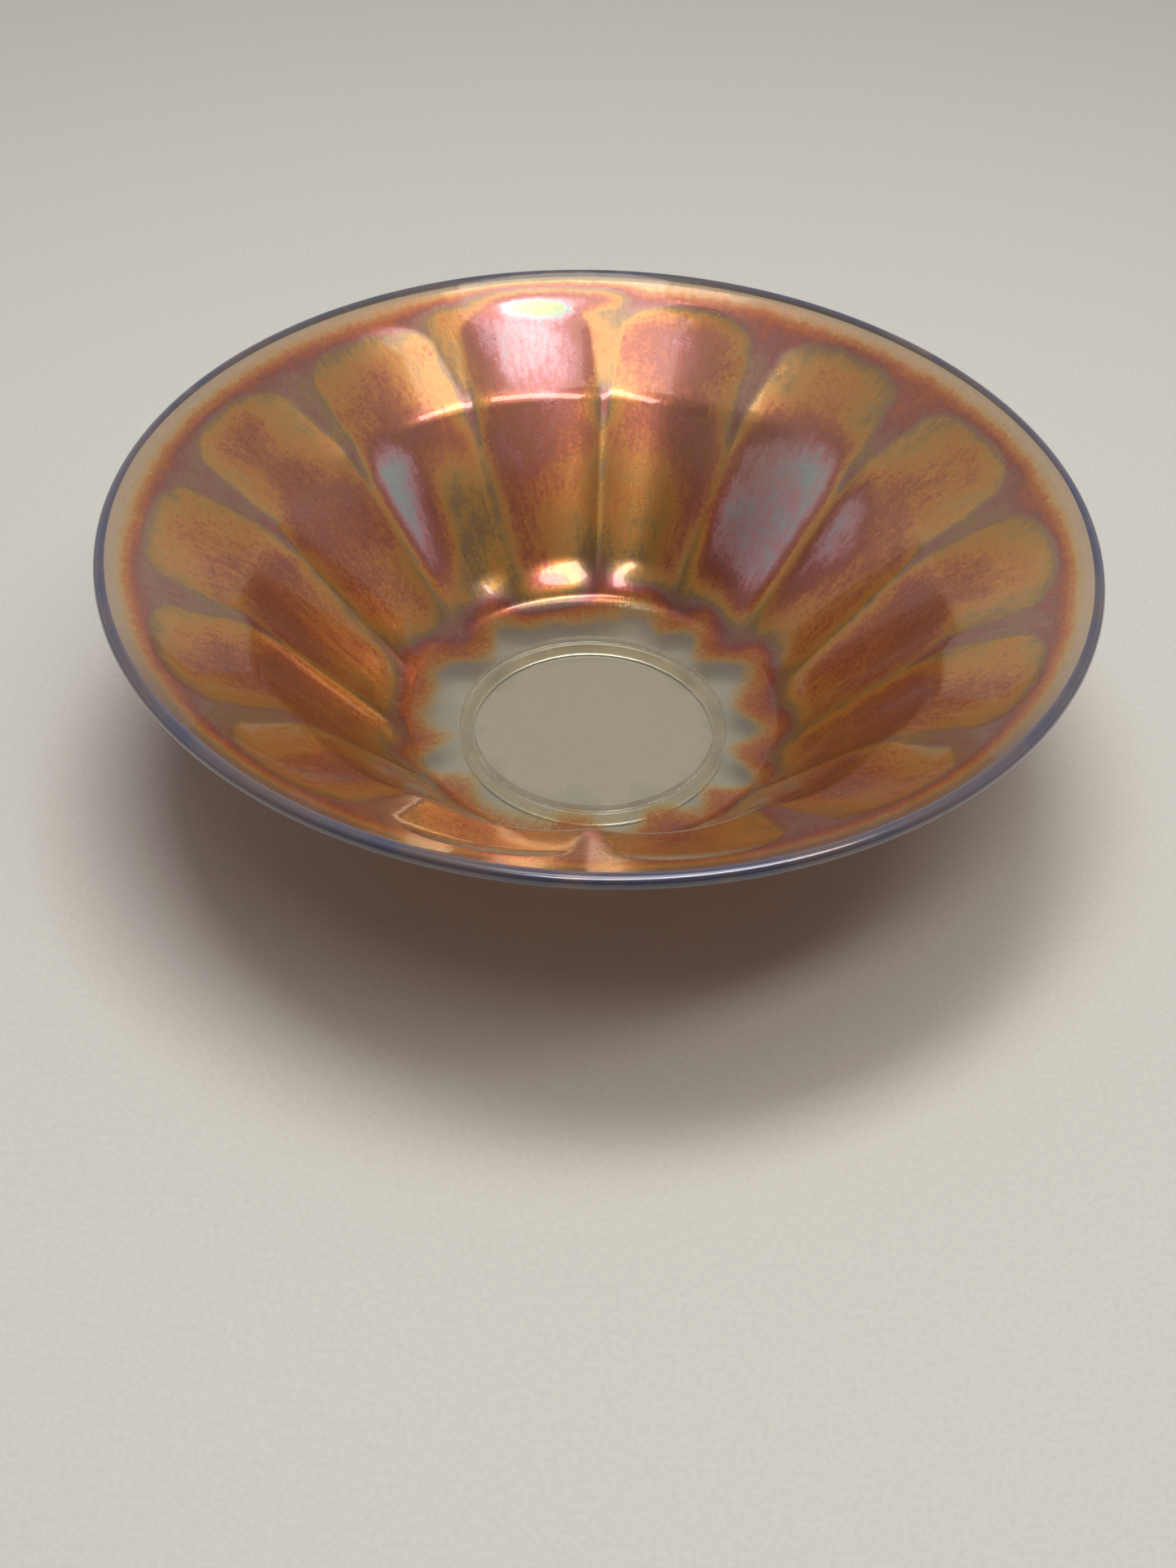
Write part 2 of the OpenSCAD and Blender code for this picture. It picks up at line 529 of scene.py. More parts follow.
class PanelLathe:
    """The Geometry Nodes tree that turns a section into one zone of the pressing, panel by panel."""

    WELD = 0.002 * MM
    # Keeps a whole quotient from rounding down to the number below it.
    NUDGE = 1e-4
    DEPTHS = ("Flute depth", "Arch depth", "Rib width", "Land width", "Crowding")
    PLACES = ("Knee height", "Shoulder height", "Shoulder radius", "Panel top", "Flute foot", "Fade")

    def __init__(self, profile: PressedProfile, rule: PanelRule) -> None:
        """Builds the tree once, for all zones.

        Args:
            profile: the half section of the pressing.
            rule: the sizes of the panels.
        """
        self.profile, self.rule = profile, rule
        self.tree = bpy.data.node_groups.new("Panelled pressing", "GeometryNodeTree")
        self.bench = TreeBench(self.tree)
        sockets = self.tree.interface
        sockets.new_socket("Section", in_out="INPUT", socket_type="NodeSocketGeometry")
        for name in ("Panels", "Columns"):
            sockets.new_socket(name, in_out="INPUT", socket_type="NodeSocketInt")
        for name in (*self.DEPTHS, *self.PLACES):
            sockets.new_socket(name, in_out="INPUT", socket_type="NodeSocketFloat")
        for skin in DRESSED:
            sockets.new_socket(skin.finish, in_out="INPUT", socket_type="NodeSocketMaterial")
        sockets.new_socket("Pressing", in_out="OUTPUT", socket_type="NodeSocketGeometry")
        self.source = self.bench.node("NodeGroupInput")
        self._wire()

    def _input(self, name: str) -> Term:
        """One of the tree's named inputs."""
        return self.bench.out(self.source, name)

    def _attribute(self, label: str, kind: str) -> Term:
        """A named attribute of the mesh at hand."""
        inputs = {"Name": label}
        return self.bench.term("GeometryNodeInputNamedAttribute", inputs, "Attribute", data_type=kind)

    def _sampled(self, label: str, kind: str, index: Term) -> Term:
        """An attribute of the section's point with this number."""
        if label == "position":
            value = self.bench.term("GeometryNodeInputPosition")
        else:
            value = self._attribute(label, kind)
        inputs = {"Geometry": self._input("Section"), "Value": value, "Index": index}
        return self.bench.term("GeometryNodeSampleIndex", inputs, "Value", data_type=kind)

    def _half_width(self, height: Term, radius: Term) -> Term:
        """Half width of a flute, as a share of the pitch from rib to rib."""
        shoulder, knee = self._input("Shoulder height"), self._input("Knee height")
        rib = self._input("Rib width")
        land = rib + (self._input("Land width") - rib) * height.least(shoulder).share(knee, shoulder)
        pitch = radius.least(self._input("Shoulder radius")) * math.tau / self._input("Panels")
        return 0.5 - land / pitch * 0.5

    def _depths(self, height: Term, radius: Term, x: Term) -> tuple[Term, Term]:
        """How deep the glass is pressed in, and the same as a share of the deepest there."""
        sideways = x.apply("ABSOLUTE") / self._half_width(height, radius)
        up = height.share(self._input("Shoulder height"), self._input("Panel top"))
        inside_panel = (1.0 - (sideways * sideways + up * up)).most(0.0)
        foot = self._input("Flute foot")
        fade = height.share(foot, foot + self._input("Fade")).smooth()
        flute, arch = self._input("Flute depth"), self._input("Arch depth")
        rise = height.share(self._input("Knee height"), self._input("Shoulder height"))
        return (flute + (arch - flute) * rise) * fade * inside_panel, inside_panel * fade

    def _one_panel(self) -> Term:
        """The mesh of one panel round the whole section."""
        b = self.bench
        inputs = {"Geometry": self._input("Section")}
        size = b.node("GeometryNodeAttributeDomainSize", inputs, component="MESH")
        rows, columns = b.out(size, "Point Count"), self._input("Columns")
        grid = b.node("GeometryNodeMeshGrid", {"Vertices X": columns + 1.0, "Vertices Y": rows + 1.0})
        index = b.term("GeometryNodeInputIndex")
        column = (index / (rows + 1.0) + self.NUDGE).apply("FLOOR")
        row = (index - column * (rows + 1.0)).apply("MODULO", rows)

        even = column / columns - 0.5
        crowded = (even * math.pi).apply("SINE") * 0.5
        x = even + (crowded - even) * self._input("Crowding")

        radius, _, height = b.parts(self._sampled("position", "FLOAT_VECTOR", row))
        slope = self._sampled("slope", "FLOAT", row)
        depth, share = self._depths(height, radius, x)
        pressed = self._sampled("fluted", "FLOAT", row)
        depth = depth * pressed
        away = radius + depth * slope.apply("SINE")
        turn = (x + 0.5) * math.tau / self._input("Panels") + math.pi / 2
        lowered = height - depth * slope.apply("COSINE")
        place = b.vector(away * turn.apply("COSINE"), away * turn.apply("SINE"), lowered)
        mesh = b.out(grid, "Mesh")
        for label, domain, kind, value in (
            ("across", "POINT", "FLOAT", x + 0.5),
            ("along", "POINT", "FLOAT", self._sampled("path", "FLOAT", row)),
            (HOLLOW, "POINT", "FLOAT", share * pressed),
            ("skin", "FACE", "INT", self._sampled("skin", "INT", index.apply("MODULO", rows))),
        ):
            inputs = {"Geometry": mesh, "Name": label, "Value": value}
            mesh = b.term("GeometryNodeStoreNamedAttribute", inputs, data_type=kind, domain=domain)
        mesh = b.term("GeometryNodeSetPosition", {"Geometry": mesh, "Position": place})
        return b.term("GeometryNodeFlipFaces", {"Mesh": mesh})

    def _is_skin(self, skin: Skin) -> Term:
        """True on the faces of one skin."""
        return self._attribute("skin", "INT").apply("COMPARE", float(skin), 0.5)

    def _wire(self) -> None:
        """Presses one panel, repeats it round the axis, and closes and dresses the result."""
        b = self.bench
        panel = self._one_panel()
        centres = b.term("GeometryNodePoints", {"Count": self._input("Panels")})
        number = b.term("GeometryNodeInputIndex")
        turn = b.vector(0.0, 0.0, number * math.tau / self._input("Panels"))
        rotation = b.term("FunctionNodeEulerToRotation", {0: turn})
        inputs = {"Points": centres, "Instance": panel, "Rotation": rotation}
        ring = b.term("GeometryNodeInstanceOnPoints", inputs)
        inputs = {"Geometry": ring, "Name": "panel", "Value": number}
        ring = b.term("GeometryNodeStoreNamedAttribute", inputs, data_type="FLOAT", domain="INSTANCE")
        mesh = b.term("GeometryNodeRealizeInstances", {"Geometry": ring})

        place = self._attribute("panel", "FLOAT") + self._attribute("across", "FLOAT")
        spread = b.vector(place, self._attribute("along", "FLOAT"), 0.0)
        inputs = {"Geometry": mesh, "Name": PANEL_MAP, "Value": spread}
        mesh = b.term("GeometryNodeStoreNamedAttribute", inputs, data_type="FLOAT2", domain="CORNER")
        inputs = {"Geometry": mesh, "Selection": self._is_skin(Skin.AXIS)}
        mesh = b.term("GeometryNodeDeleteGeometry", inputs, domain="FACE", mode="ALL")
        mesh = b.term("GeometryNodeMergeByDistance", {"Geometry": mesh, "Distance": self.WELD})
        mesh = b.term("GeometryNodeSetShadeSmooth", {"Geometry": mesh})
        for skin in DRESSED:
            inputs = {
                "Geometry": mesh,
                "Selection": self._is_skin(skin),
                "Material": self._input(skin.finish),
            }
            mesh = b.term("GeometryNodeSetMaterial", inputs)
        b.node("NodeGroupOutput", {0: mesh})

    def _sizes(self) -> dict[str, float]:
        """Values of the tree's named inputs."""
        p, r = self.profile, self.rule
        knee_low = p.knee - p.knee_round * math.tan((p.wall_slope - p.flare_slope) / 2) * polar(p.wall_slope)
        arch_radius = p.rim_radius - r.border
        panel_top = p.lip_edge.y - (p.lip_edge.x - arch_radius) * math.tan(p.flare_slope)
        shoulder = panel_top - r.arch_rise * math.sin(p.flare_slope)
        shoulder_radius = p.inside(shoulder, p.top)[0].place.x
        return {
            "Panels": r.count,
            "Columns": r.columns,
            "Flute depth": r.flute_depth,
            "Arch depth": r.arch_depth,
            "Rib width": r.rib_width,
            "Land width": r.land_width,
            "Knee height": knee_low.y,
            "Shoulder height": shoulder,
            "Shoulder radius": shoulder_radius,
            "Panel top": panel_top,
            "Flute foot": p.flutes_from,
            "Fade": r.fade,
            "Crowding": r.crowding,
        }

    def turn(self, name: str, section: Section, finishes: dict[Skin, bpy.types.Material]) -> bpy.types.Object:
        """Turns a section into a finished piece.

        Args:
            name: name of the piece.
            section: its closed outline.
            finishes: the material of each skin that it has.

        Returns:
            A plain closed mesh object at the origin.
        """
        raw = section.to_object(f"{name}_section")
        bpy.context.scene.collection.objects.link(raw)
        modifier = raw.modifiers.new("Press", "NODES")
        modifier.node_group = self.tree
        values: dict[str, object] = dict(self._sizes())
        values.update({skin.finish: made for skin, made in finishes.items()})
        for item in self.tree.interface.items_tree:
            if item.item_type == "SOCKET" and item.in_out == "INPUT" and item.name in values:
                modifier[item.identifier] = values[item.name]
        evaluated = raw.evaluated_get(bpy.context.evaluated_depsgraph_get())
        mesh = bpy.data.meshes.new_from_object(evaluated)
        mesh.name = name
        for number in reversed(range(len(mesh.materials))):
            if mesh.materials[number] is None:
                mesh.materials.pop(index=number)
        self._crisp_joints(mesh)
        piece = bpy.data.objects.new(name, mesh)
        bpy.context.scene.collection.objects.link(piece)
        bpy.data.objects.remove(raw)
        return piece

    @staticmethod
    def _crisp_joints(mesh: bpy.types.Mesh) -> None:
        """Marks the edges sharp where a joint face meets a polished one, so shading doesn't round them."""
        skins = [item.value for item in mesh.attributes["skin"].data]
        kinds: dict[tuple[int, int], set[bool]] = {}
        for face in mesh.polygons:
            for key in face.edge_keys:
                kinds.setdefault(key, set()).add(skins[face.index] == Skin.JOINT)
        sharp = [len(kinds[edge.key]) > 1 for edge in mesh.edges]
        label = "sharp_edge"
        marked = mesh.attributes.get(label) or mesh.attributes.new(label, "BOOLEAN", "EDGE")
        marked.data.foreach_set("value", sharp)


# --------------------------------------------------------------------------------------------------
# Finishes
# --------------------------------------------------------------------------------------------------

Colour = tuple[float, float, float]


def shade(red: int, green: int, blue: int) -> Colour:
    """A colour given as eight-bit display values, as the linear values that shaders use."""

    def linear(level: int) -> float:
        """One channel."""
        share = level / 255
        return share / 12.92 if share <= 0.04045 else ((share + 0.055) / 1.055) ** 2.4

    return linear(red), linear(green), linear(blue)


@dataclass(frozen=True)
class PoolAndPaintedReflection:
    """A local change of the film's thickness, and with it the film's colour: some stand for uneven spray, the
    others are painted highlights and painted reflections.

    Attributes:
        azimuth: direction from the axis, in degrees from +X.
        radius: distance from the axis.
        length: size along the radius.
        width: size round the bowl.
        shift: change of thickness at its middle.
    """

    azimuth: float
    radius: float
    length: float
    width: float
    shift: float


@dataclass(frozen=True)
class Speckle:
    """One kind of unevenness in the film.

    Attributes:
        scale: how fine it is.
        detail: how many finer layers it has.
        roughness: how strong those layers are.
        swing: how far it moves what it is added to.
    """

    scale: float
    detail: float
    roughness: float
    swing: float

    def noise(self, bench: TreeBench, place: Term) -> Term:
        """The noise itself, from 0 to 1."""
        return bench.noise(place, self.scale, self.detail, self.roughness)

    def shift(self, noise: Term) -> Term:
        """How far it moves something."""
        return (noise - 0.5) * self.swing


class LustreFilm:
    """The sprayed film: how thick it lies, and the colour that each thickness shows.

    Thicknesses are on the scale of ORDERS. Distances along the film are in millimetres.
    """

    # Colour against thickness, from bare glass to the second order of colours.
    ORDERS: Sequence[tuple[float, Colour]] = (
        (0.0, shade(176, 172, 160)),
        (0.1, shade(192, 174, 132)),
        (0.2, shade(210, 164, 78)),
        (0.3, shade(202, 120, 48)),
        (0.4, shade(180, 92, 54)),
        (0.47, shade(150, 84, 76)),
        (0.54, shade(162, 116, 98)),
        (0.61, shade(148, 122, 76)),
        (0.68, shade(190, 144, 66)),
        (0.76, shade(208, 138, 60)),
        (0.85, shade(180, 102, 60)),
        (0.93, shade(158, 88, 60)),
        (1.0, shade(172, 98, 92)),
        (1.1, shade(202, 150, 154)),
        (1.2, shade(164, 184, 184)),
        (1.3, shade(172, 196, 146)),
        (1.34, shade(178, 190, 136)),
    )
    THICKEST = 1.34
    # Thickness against distance in millimetres: up from the scalloped edge on the base, and in from the lip.
    FROM_EDGE = (
        (0, 0.0), (2, 0.16), (4, 0.28), (7, 0.4), (11, 0.5), (17, 0.66), (26, 0.78), (45, 0.85), (110, 0.96),
    )
    FROM_LIP = (
        (0, 0.0), (2, 0.08), (4, 0.18), (6, 0.3), (8.5, 0.42), (11, 0.49), (30, 0.54), (44, 0.6), (56, 0.82),
    )
    # Where the border gives way to the panels, and the flare to the steep wall, as distances from the lip.
    BORDER_ENDS = (8.0, 12.0)
    WALL_STARTS = (36.0, 44.0)
    # How the film thickens in a panel: a step just inside its outline, and a rise to its middle.
    OUTLINE = 0.16
    STEP = 0.15
    RISE = 0.14
    THIN_AT_RIB = 0.16
    # The scalloped edge: where it lies at a rib, how far it swings to a panel's middle, and how it strays.
    EDGE_AT_RIB = -10.5
    EDGE_SWING = 12.0
    EDGE_SWAY = 0.7
    DRIFT = Speckle(1.0, 1.0, 0.5, 36.0)
    FRAY = Speckle(5.0, 2.0, 0.6, 2.0)
    LIP_FRAY = 1.6
    # Unevenness of the thickness, which grows with the film.
    BLOTCH = Speckle(46.0, 3.0, 0.55, 0.3)
    PATCH = Speckle(19.0, 2.0, 0.5, 0.24)
    STREAK = Speckle(1.0, 3.0, 0.6, 0.24)
    GRAIN = Speckle(800.0, 4.0, 0.65, 0.26)
    GROWN = (0.05, 0.5)
    POOL_AND_REFLECTION_WANDER = 1.6
    # Thickness that covers fully, and the haze and its width on the bare glass before the edge: partly a haze
    # of film, partly painted light that brightens the lit glass there.
    COVERS = 0.3
    HAZE_AND_PAINTED_LIGHT = 0.3
    HAZE_AND_PAINTED_LIGHT_WIDTH = 9.0
    SPECK_TINT = shade(120, 74, 44)
    SPECK_STRENGTH = 0.22
    # Some pools are painted light: those at 102 and 78 degrees far out paint the reflection of the overhead
    # light in the back arches, the one at 97 degrees paints the pale highlight on the back border, the one at
    # 106 degrees near the crease paints the rainbow highlight at the back of the base, those at 126, 135 and
    # 50 degrees paint mauve-grey reflections on the side panels, and the one at 88 degrees paints the dark
    # reflection on the back wall.
    POOLS_AND_PAINTED_REFLECTIONS = (
        PoolAndPaintedReflection(102.0, 114.0 * MM, 26.0 * MM, 42.0 * MM, 0.3),
        PoolAndPaintedReflection(78.0, 112.0 * MM, 15.0 * MM, 24.0 * MM, 0.14),
        PoolAndPaintedReflection(106.0, 54.0 * MM, 8.0 * MM, 17.0 * MM, 0.62),
        PoolAndPaintedReflection(72.0, 51.0 * MM, 8.0 * MM, 15.0 * MM, -0.42),
        PoolAndPaintedReflection(126.0, 76.0 * MM, 20.0 * MM, 16.0 * MM, -0.2),
        PoolAndPaintedReflection(135.0, 82.0 * MM, 20.0 * MM, 14.0 * MM, 0.32),
        PoolAndPaintedReflection(97.0, 126.0 * MM, 9.0 * MM, 34.0 * MM, 0.56),
        PoolAndPaintedReflection(50.0, 80.0 * MM, 26.0 * MM, 34.0 * MM, 0.3),
        PoolAndPaintedReflection(88.0, 74.0 * MM, 24.0 * MM, 34.0 * MM, -0.26),
        PoolAndPaintedReflection(225.0, 84.0 * MM, 12.0 * MM, 20.0 * MM, -0.16),
        PoolAndPaintedReflection(300.0, 76.0 * MM, 14.0 * MM, 22.0 * MM, 0.12),
    )

    def __init__(self, lip_path: float) -> None:
        """Builds the shader group.

        Args:
            lip_path: distance along the inside from the crease to the edge of the lip.
        """
        self.tree = bpy.data.node_groups.new("Lustre film", "ShaderNodeTree")
        self.bench = TreeBench(self.tree)
        sockets = self.tree.interface
        taken = {"Place": "Vector", "Panel map": "Vector", "Hollow": "Float", "Cover": "Float"}
        given = {"Colour": "Color", "Cover": "Float", "Roughness": "Float", "Height": "Float"}
        for way, kinds in (("INPUT", taken), ("OUTPUT", given)):
            for name, kind in kinds.items():
                sockets.new_socket(name, in_out=way, socket_type=f"NodeSocket{kind}")
        self.source = self.bench.node("NodeGroupInput")
        self._wire(lip_path / MM)

    def _pools_and_painted_reflections(self, place: Term, wander: Term) -> Term:
        """The sum of the pools and painted reflections at a place."""
        b = self.bench
        x, y, _ = b.parts(place)
        total: Value = 0.0
        for spot in self.POOLS_AND_PAINTED_REFLECTIONS:
            turn = math.radians(spot.azimuth)
            outward = (x * math.cos(turn) + y * math.sin(turn) - spot.radius) / spot.length
            sideways = (y * math.cos(turn) - x * math.sin(turn)) / spot.width
            reach = outward * outward + sideways * sideways + (wander - 0.5) * self.POOL_AND_REFLECTION_WANDER
            total = (1.0 - reach).share(0.0, 1.0).smooth() * spot.shift + total
        return total

    def _edge(self, across: Term, path: Term, fray: Term, patch: Term) -> Term:
        """Where the film's scalloped edge lies, as a distance up from the crease."""
        b = self.bench
        x = across.apply("FRACT") - 0.5 + (patch - 0.5) * self.EDGE_SWAY
        swing = (x * math.tau).apply("COSINE") * 0.5 + 0.5
        drift = self.DRIFT.noise(b, b.vector(across * 0.8, 0.0, 7.0))
        scallop = swing * (drift * self.EDGE_SWING) + self.EDGE_AT_RIB
        return scallop + self.FRAY.shift(fray) + self.DRIFT.shift(drift)

    def _wire(self, lip_path: float) -> None:
        """Works out the thickness of the film and reads its colour."""
        b, source = self.bench, self.source
        place, hollow = b.out(source, "Place"), b.out(source, "Hollow")
        across, path, _ = b.parts(b.out(source, "Panel map"))
        path = path / MM
        blotch, patch, grain = (kind.noise(b, place) for kind in (self.BLOTCH, self.PATCH, self.GRAIN))
        streak = self.STREAK.noise(b, b.vector(across * 24.0, path * 0.13, 0.0))
        fray = self.FRAY.noise(b, b.vector(across * 2.2, path * 0.06, 0.0))

        above = path - self._edge(across, path, fray, patch)
        below = lip_path - path + (fray - 0.5) * self.LIP_FRAY
        pressed = hollow.share(0.0, self.OUTLINE).smooth() * self.STEP + hollow * hollow * self.RISE
        from_lip = b.curve(below, self.FROM_LIP) + pressed * below.share(*self.BORDER_ENDS)
        settled = b.curve(above, self.FROM_EDGE).least(from_lip)

        wall = below.share(*self.WALL_STARTS)
        inset = hollow.share(0.0, 0.5)
        # The pools put painted highlights and painted reflections into the thickness, and so into the colour.
        pooled_and_painted_reflections = self._pools_and_painted_reflections(place, patch) * (inset.most(1.0 - wall) * 0.7 + 0.3)
        uneven = self.BLOTCH.shift(blotch) + self.PATCH.shift(patch)
        uneven = uneven + self.STREAK.shift(streak) + self.GRAIN.shift(grain)
        change = uneven + pooled_and_painted_reflections - (1.0 - inset) * wall * self.THIN_AT_RIB
        thickness = (settled + change * settled.share(*self.GROWN)).least(self.THICKEST)

        colour = b.ramp(thickness / self.THICKEST, [(at / self.THICKEST, tint) for at, tint in self.ORDERS])
        specks = grain.share(0.35, 0.75) * self.SPECK_STRENGTH
        # A pale cover on the bare glass before the edge: partly a haze of film, partly painted light for the
        # brightly lit glass.
        haze_and_painted_light = above.share(-self.HAZE_AND_PAINTED_LIGHT_WIDTH, 0.0) * self.HAZE_AND_PAINTED_LIGHT
        cover = thickness.share(0.0, self.COVERS).most(haze_and_painted_light)
        results = {
            "Colour": b.mix(specks, colour, self.SPECK_TINT, "MULTIPLY"),
            "Cover": b.out(source, "Cover") * cover * (blotch * 0.12 + 0.94),
            "Roughness": 0.16 + blotch * 0.1 + grain * 0.1,
            "Height": grain * 0.3 + streak * 0.7,
        }
        b.node("NodeGroupOutput", results)

    def placed(self, bench: TreeBench, cover: float) -> bpy.types.Node:
        """Places the group in a material, fed with the piece's own map and the object's own space.

        Args:
            bench: the material's tree.
            cover: how much of the light the thick film stops.

        Returns:
            The group node.
        """
        inputs = {
            "Place": bench.term("ShaderNodeTexCoord", output="Object"),
            "Panel map": bench.term("ShaderNodeUVMap", uv_map=PANEL_MAP),
            "Hollow": bench.term("ShaderNodeAttribute", output="Fac", attribute_name=HOLLOW),
            "Cover": cover,
        }
        return bench.node("ShaderNodeGroup", inputs, node_tree=self.tree)


class GlassWaves:
    """The faint unevenness that a mould leaves on glass, as a shader group."""

    def __init__(self) -> None:
        """Builds the shader group."""
        self.tree = bpy.data.node_groups.new("Glass waves", "ShaderNodeTree")
        b = TreeBench(self.tree)
        self.tree.interface.new_socket("Place", in_out="INPUT", socket_type="NodeSocketVector")
        for name in ("Roughness", "Height"):
            self.tree.interface.new_socket(name, in_out="OUTPUT", socket_type="NodeSocketFloat")
        place = b.out(b.node("NodeGroupInput"), "Place")
        wave = b.noise(place, scale=38.0, detail=2.0, roughness=0.4)
        chill = b.noise(place, scale=210.0, detail=3.0, roughness=0.6)
        wear = b.noise(place, scale=900.0, detail=2.0, roughness=0.5).share(0.62, 0.8)
        b.node("NodeGroupOutput", {"Roughness": 0.02 + wear * 0.06, "Height": wave * 0.85 + chill * 0.15})

    def placed(self, bench: TreeBench) -> bpy.types.Node:
        """Places the group in a material."""
        inputs = {"Place": bench.term("ShaderNodeTexCoord", output="Object")}
        return bench.node("ShaderNodeGroup", inputs, node_tree=self.tree)


@dataclass(frozen=True)
class PressedGlass:
    """Clear pressed glass, which lets lamp light through to what it stands on.

    Attributes:
        name: the material's name.
        body: colour of the glass.
        stain: colour of the light that falls through it.
        wave: depth of the mould's unevenness.
        frost: roughness that wear adds all over.
    """

    name: str
    body: Colour = shade(247, 248, 243)
    stain: Colour = shade(222, 218, 208)
    wave: float = 0.1 * MM
    frost: float = 0.0

    def shaders(self, bench: TreeBench, waves: GlassWaves) -> Term:
        """Adds the glass shader to a material and returns it."""
        uneven = waves.placed(bench)
        bump = bench.term("ShaderNodeBump", {"Height": bench.out(uneven, "Height"), "Distance": self.wave})
        glass = bench.node(
            "ShaderNodeBsdfPrincipled",
            {
                "Base Color": self.body,
                "Roughness": bench.out(uneven, "Roughness") + self.frost,
                "IOR": 1.5,
                "Transmission Weight": 1.0,
                "Normal": bump,
            },
        )
        lamp = bench.term("ShaderNodeBsdfTransparent", {"Color": self.stain})
        shader = bench.out(glass)
        for ray in ("Is Shadow Ray", "Is Diffuse Ray"):
            chosen = bench.term("ShaderNodeLightPath", output=ray)
            shader = bench.term("ShaderNodeMixShader", {0: chosen, 1: shader, 2: lamp})
        return shader

    def made(self, waves: GlassWaves) -> bpy.types.Material:
        """The finished material."""
        material, bench = blank_material(self.name)
        bench.node("ShaderNodeOutputMaterial", {"Surface": self.shaders(bench, waves)})
        return material


@dataclass(frozen=True)
class LustredGlass:
    """Glass under the sprayed film.

    Attributes:
        name: the material's name.
        glass: the glass below the film.
        cover: how much of the light the thick film stops.
        metal: how metallic the film is.
        coat: strength of the clear gloss over it.
        glow: share of the light that the film passes on, scattered.
        grain: depth of the film's fine relief.
    """

    name: str
    glass: PressedGlass
    cover: float = 0.85
    metal: float = 0.75
    coat: float = 0.8
    glow: float = 0.2
    grain: float = 0.05 * MM

    def made(self, film: LustreFilm, waves: GlassWaves) -> bpy.types.Material:
        """The finished material."""
        material, bench = blank_material(self.name)
        spray = film.placed(bench, self.cover)
        bump = bench.term("ShaderNodeBump", {"Height": bench.out(spray, "Height"), "Distance": self.grain})
        lustre = bench.node(
            "ShaderNodeBsdfPrincipled",
            {
                "Base Color": bench.out(spray, "Colour"),
                "Metallic": self.metal,
                "Roughness": bench.out(spray, "Roughness"),
                "IOR": 1.6,
                "Coat Weight": self.coat,
                "Coat Roughness": 0.05,
                "Coat IOR": 1.5,
                "Thin Film Thickness": 420.0,
                "Thin Film IOR": 1.9,
                "Normal": bump,
            },
        )
        inputs = {"Color": bench.out(spray, "Colour"), "Normal": bump}
        through = bench.term("ShaderNodeBsdfTranslucent", inputs)
        film_shader = bench.term("ShaderNodeMixShader", {0: self.glow, 1: bench.out(lustre), 2: through})
        below = self.glass.shaders(bench, waves)
        inputs = {0: bench.out(spray, "Cover"), 1: below, 2: film_shader}
        bench.node("ShaderNodeOutputMaterial", {"Surface": bench.term("ShaderNodeMixShader", inputs)})
        return material


@dataclass(frozen=True)
class LipPolish:
    """The fire-polished lip, where the film burnt to a dark violet sheen with blue glints."""

    name: str = "lip_polish"
    relief: float = 0.03 * MM

    def made(self) -> bpy.types.Material:
        """The finished material."""
        material, bench = blank_material(self.name)
        place = bench.term("ShaderNodeTexCoord", output="Object")
        drift = bench.noise(place, scale=24.0, detail=3.0, roughness=0.6)
        fine = bench.noise(place, scale=300.0, detail=3.0, roughness=0.6)
        stops = (
            (0.3, shade(102, 86, 82)),
            (0.45, shade(96, 86, 92)),
            (0.58, shade(78, 77, 94)),
            (0.68, shade(112, 96, 92)),
        )
        bump = bench.term("ShaderNodeBump", {"Height": fine, "Distance": self.relief})
        inputs = {
            "Base Color": bench.ramp(drift, stops),
            "Metallic": 0.55,
            "Roughness": 0.16 + fine * 0.14,
            "IOR": 1.6,
            "Coat Weight": 0.8,
            "Coat Roughness": 0.05,
            "Normal": bump,
        }
        bench.node("ShaderNodeOutputMaterial", {"Surface": bench.term("ShaderNodeBsdfPrincipled", inputs)})
        return material


@dataclass(frozen=True)
class HiddenJoint:
    """Faces where two zones of the one pressing meet: nothing shows there."""

    name: str = "hidden_joint"

    def made(self) -> bpy.types.Material:
        """The finished material."""
        material, bench = blank_material(self.name)
        nothing = bench.term("ShaderNodeBsdfTransparent", {"Color": (1.0, 1.0, 1.0)})
        bench.node("ShaderNodeOutputMaterial", {"Surface": nothing})
        return material


def blank_material(name: str) -> tuple[bpy.types.Material, TreeBench]:
    """A new material with an empty tree.

    Args:
        name: the material's name.

    Returns:
        The material, and the bench to work on its tree.
    """
    material = bpy.data.materials.new(name)
    material.use_nodes = True
    material.node_tree.nodes.clear()
    return material, TreeBench(material.node_tree)


# --------------------------------------------------------------------------------------------------
# The bowl
# --------------------------------------------------------------------------------------------------


class Slot(Enum):
    """The record's material slots."""

    CLEAR = "clear_glass"
    MARIGOLD = "marigold_lustre"
    PALE = "pale_lustre"


@dataclass(frozen=True)
class Zone:
    """One zone of the pressing: the CAD node that it stands for, its outline and its finish."""

    node: str
    section: Section
    slot: Slot
    finishes: dict[Skin, bpy.types.Material]


